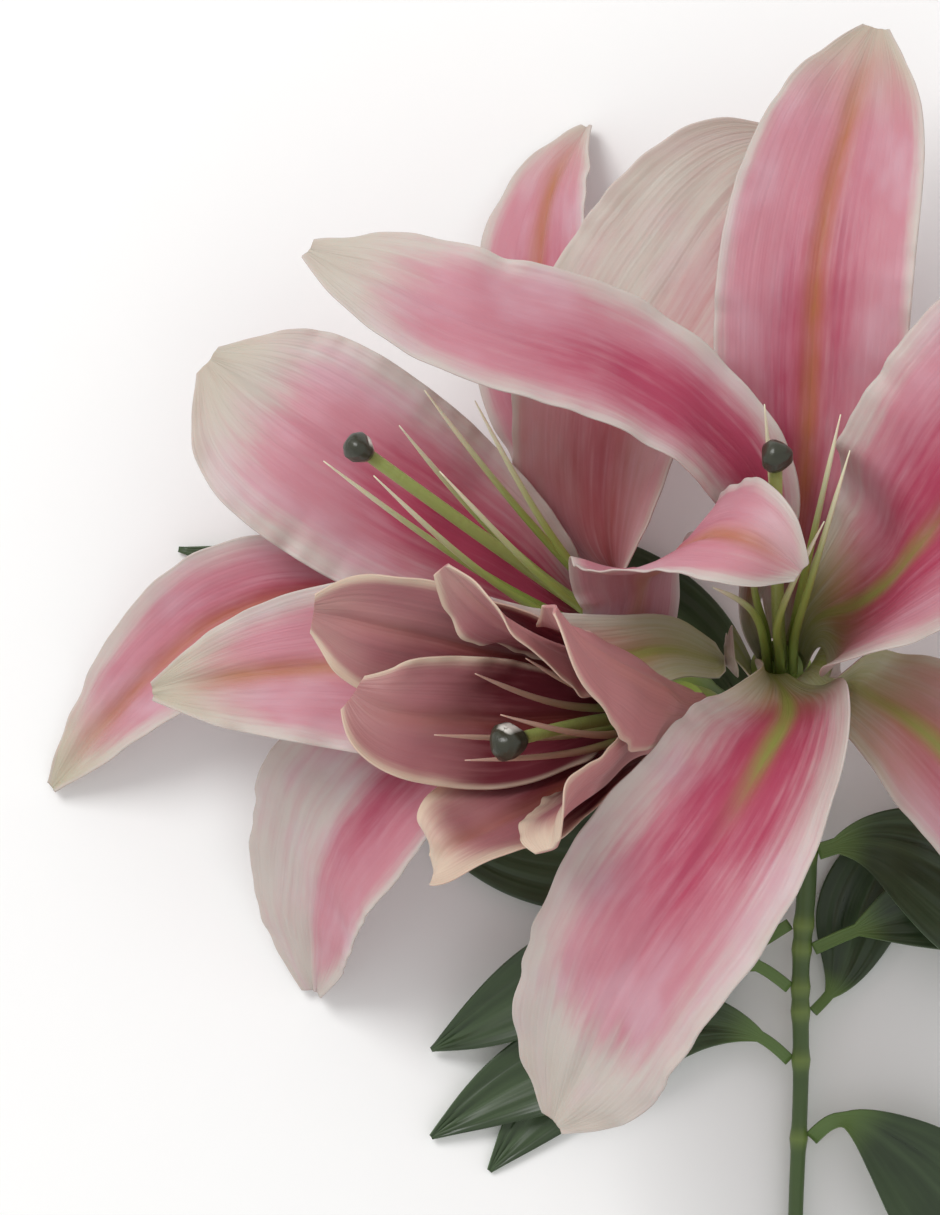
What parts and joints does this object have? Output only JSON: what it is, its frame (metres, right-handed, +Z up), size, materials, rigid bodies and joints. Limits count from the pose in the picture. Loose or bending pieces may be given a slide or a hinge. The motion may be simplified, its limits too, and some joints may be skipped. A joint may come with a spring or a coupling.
{
  "type": "cut lily",
  "caption": "Leafy green lily stem with wide open recurved blooms and a half-open trumpet bloom, lying flat on a surface.",
  "frame": {"origin": "bottom centre of the box round the lying stem, on the surface that it lies on", "axes": "+Y along the stem from its cut end to the flowers, +Z up from the surface, +X to the right of the stem seen from above with the flowers away from the viewer"},
  "size_m": [0.23, 0.382, 0.1175],
  "materials": {
    "stem": "satin green plant stem",
    "open_petal": "soft translucent petal, cream with a pink centre",
    "trumpet_petal": "soft translucent petal, cream-edged and wine red inside",
    "stigma": "dark olive, slightly sticky gloss",
    "filament": "satin, green to cream",
    "leaf": "satin dark green leaf"
  },
  "bodies": {
    "root": {"stem": "stem", "stalk_right": "stem", "right_petal_lower": "open_petal", "right_petal_upper_right": "open_petal", "right_petal_upper_left": "open_petal", "right_petal_top": "open_petal", "right_petal_lower_right": "open_petal", "right_petal_left": "open_petal", "right_pistil": "stigma", "right_filament_1": "filament", "right_filament_2": "filament", "right_filament_3": "filament", "right_filament_4": "filament", "right_filament_5": "filament", "right_filament_6": "filament", "stalk_left": "stem", "left_petal_left": "open_petal", "left_petal_upper_right": "open_petal", "left_petal_lower": "open_petal", "left_petal_top": "open_petal", "left_petal_front": "open_petal", "left_petal_lower_left": "open_petal", "left_pistil": "stigma", "left_filament_1": "filament", "left_filament_2": "filament", "left_filament_3": "filament", "left_filament_4": "filament", "left_filament_5": "filament", "left_filament_6": "filament", "stalk_middle": "stem", "middle_petal_left": "trumpet_petal", "middle_petal_upper_left": "trumpet_petal", "middle_petal_top": "trumpet_petal", "middle_petal_lower": "trumpet_petal", "middle_petal_right": "trumpet_petal", "middle_petal_lower_right": "trumpet_petal", "middle_pistil": "stigma", "middle_filament_1": "filament", "middle_filament_2": "filament", "middle_filament_3": "filament", "middle_filament_4": "filament", "middle_filament_5": "filament", "middle_filament_6": "filament", "leaf_low_right": "leaf", "leaf_low_left": "leaf", "leaf_mid_left": "leaf", "leaf_under_left": "leaf", "leaf_mid_right": "leaf", "leaf_under_right": "leaf", "leaf_high_right": "leaf", "leaf_high_left": "leaf", "leaf_far_left": "leaf"}
  },
  "joints": []
}
